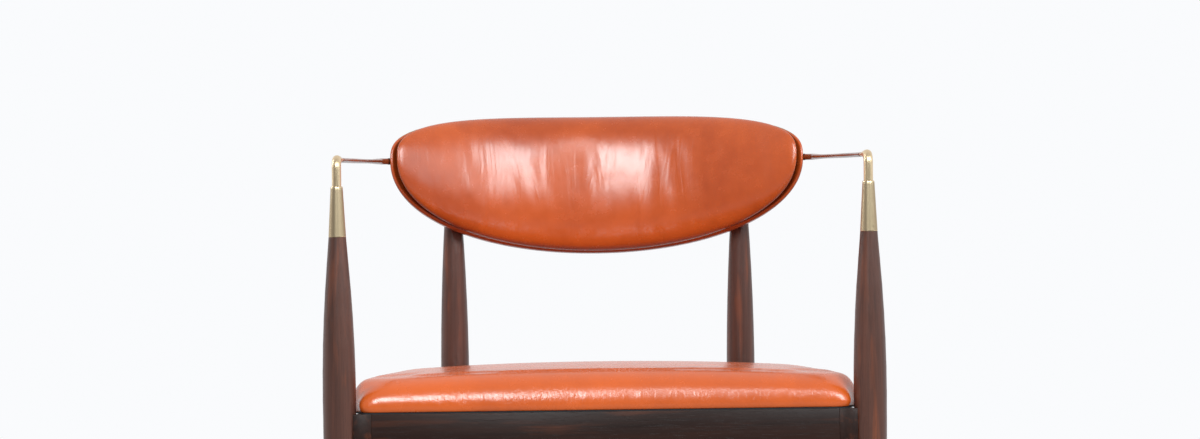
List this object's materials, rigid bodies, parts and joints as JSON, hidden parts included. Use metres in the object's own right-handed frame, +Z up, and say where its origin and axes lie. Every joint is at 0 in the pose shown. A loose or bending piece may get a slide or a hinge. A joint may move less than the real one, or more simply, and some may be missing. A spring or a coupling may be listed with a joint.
{
  "type": "leather armchair",
  "caption": "Armchair with turned walnut legs, slim leather-wrapped brass arm rods in brass ferrules, a crowned leather seat and a curved, D-shaped leather back between the arms.",
  "frame": {"origin": "on the floor, under the middle of the chair's bounding box", "axes": "+X to the right of the chair seen from its front, +Y to its back, +Z up"},
  "size_m": [0.6248, 0.5098, 0.7449],
  "materials": {
    "walnut": "turned walnut, satin oil",
    "brass": "satin champagne brass",
    "cognac_leather": "smooth cognac leather, semi-gloss",
    "plywood": "raw plywood and beech",
    "foam": "upholstery foam",
    "screw_steel": "zinc-plated screws",
    "black_plastic": "black grommets",
    "black_cloth": "black woven dust cover",
    "glide_rubber": "black foot glides"
  },
  "bodies": {
    "root": {"front_leg_left": "walnut", "front_leg_right": "walnut", "rear_leg_left": "walnut", "rear_leg_right": "walnut", "foot_glides": "glide_rubber", "ferrule_left": "brass", "ferrule_right": "brass", "ferrule_pins": "brass", "arm_rod_left": "brass", "arm_rod_right": "brass", "arm_leather_left": "cognac_leather", "arm_leather_right": "cognac_leather", "arm_grommets": "black_plastic", "front_rail": "walnut", "rear_rail": "walnut", "side_rail_left": "walnut", "side_rail_right": "walnut", "rail_dowels": "plywood", "corner_blocks": "plywood", "block_screws": "screw_steel", "rear_leg_screws": "screw_steel", "seat_board": "plywood", "seat_foam": "foam", "seat_leather": "cognac_leather", "dust_cover": "black_cloth", "seat_screws": "screw_steel", "back_shell_board": "plywood", "back_shell_leather": "cognac_leather", "back_pad_board": "plywood", "back_pad_foam": "foam", "back_pad_leather": "cognac_leather", "pad_screws": "screw_steel", "back_screws": "screw_steel"}
  },
  "joints": []
}
